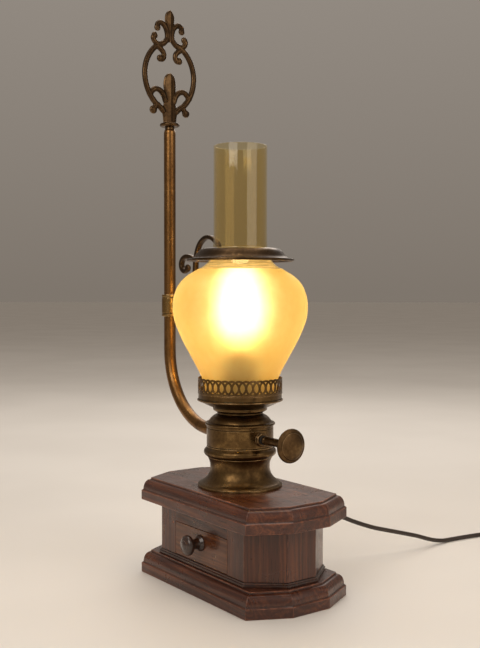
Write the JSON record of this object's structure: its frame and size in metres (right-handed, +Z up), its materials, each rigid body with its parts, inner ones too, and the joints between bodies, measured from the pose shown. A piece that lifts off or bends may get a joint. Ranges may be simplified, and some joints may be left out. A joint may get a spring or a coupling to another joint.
{
  "type": "table lamp",
  "caption": "Electric table lamp in oil-lamp style: glass shade with chimney on a brass body, bent side tube with sliding collar and finial, wooden case with a drawer.",
  "frame": {"origin": "the middle of the case's underside, on the axis of the brass body", "axes": "+Z up; the drawer faces -Y; the bent tube is at -X and the switch knob at +X"},
  "size_m": [0.2733, 0.5206, 0.6468],
  "materials": {
    "walnut": "varnished",
    "dark_wood": "varnished",
    "inner_wood": "bare",
    "knob_wood": "varnished",
    "aged_brass": "patinated",
    "bright_brass": "satin",
    "bronze": "patinated",
    "steel": "brushed",
    "black_plastic": "matte",
    "ceramic": "glazed",
    "amber_glass": "frosted and clear",
    "bulb_glass": "clear",
    "filament": "glowing",
    "cord_cover": "matte"
  },
  "bodies": {
    "lamp": {"base_board": "walnut", "foot_bead": "dark_wood", "case_back": "walnut", "case_end_left": "walnut", "case_end_right": "walnut", "case_corners": "walnut", "front_stile_left": "walnut", "front_stile_right": "walnut", "front_rail_top": "walnut", "front_rail_bottom": "walnut", "glue_blocks": "inner_wood", "top_board": "walnut", "base_screws": "steel", "drawer_runner_left": "inner_wood", "drawer_runner_right": "inner_wood", "foot_skirt": "aged_brass", "bead_ring": "bright_brass", "drum": "aged_brass", "drum_dome": "aged_brass", "gallery_cup": "aged_brass", "gallery_band": "aged_brass", "threaded_rod": "steel", "rod_washer": "steel", "rod_nuts": "steel", "switch_body": "black_plastic", "switch_nut": "bright_brass", "bent_tube": "bright_brass", "tube_locknut": "steel", "finial_collar": "bronze", "finial": "bronze", "glass_shade": "amber_glass", "holder_cap": "black_plastic", "holder_shell": "black_plastic", "holder_insert": "ceramic", "bulb_cap": "bright_brass", "bulb_glass": "bulb_glass", "bulb_filament": "filament", "inner_cable": "cord_cover", "cord_bush": "black_plastic", "strain_relief": "black_plastic", "supply_cord": "cord_cover", "cord_coil": "cord_cover", "cord_tie": "black_plastic", "plug_relief": "black_plastic", "plug_body": "black_plastic", "plug_pins": "steel"},
    "drawer": {"drawer_front": "walnut", "drawer_side_left": "inner_wood", "drawer_side_right": "inner_wood", "drawer_back": "inner_wood", "drawer_floor": "inner_wood", "drawer_knob": "knob_wood", "drawer_knob_screw": "steel"},
    "switch": {"switch_shaft": "steel", "switch_knob": "bronze"},
    "collar": {"sleeve": "bright_brass", "sleeve_screw": "steel", "scroll_bracket": "bronze", "chimney_collar": "bronze", "collar_rivet": "bright_brass"}
  },
  "joints": [
    {"name": "drawer_slide", "type": "slide", "parent": "lamp", "child": "drawer", "axis": [0, -1, 0], "range_m": [0, 0.07]},
    {"name": "switch_turn", "type": "hinge", "parent": "lamp", "child": "switch", "pos_m": [0.06, 0, 0.1605], "axis": [1, 0, 0], "continuous": true},
    {"name": "collar_slide", "type": "slide", "parent": "lamp", "child": "collar", "axis": [0, 0, 1], "range_m": [0, 0.19]}
  ]
}
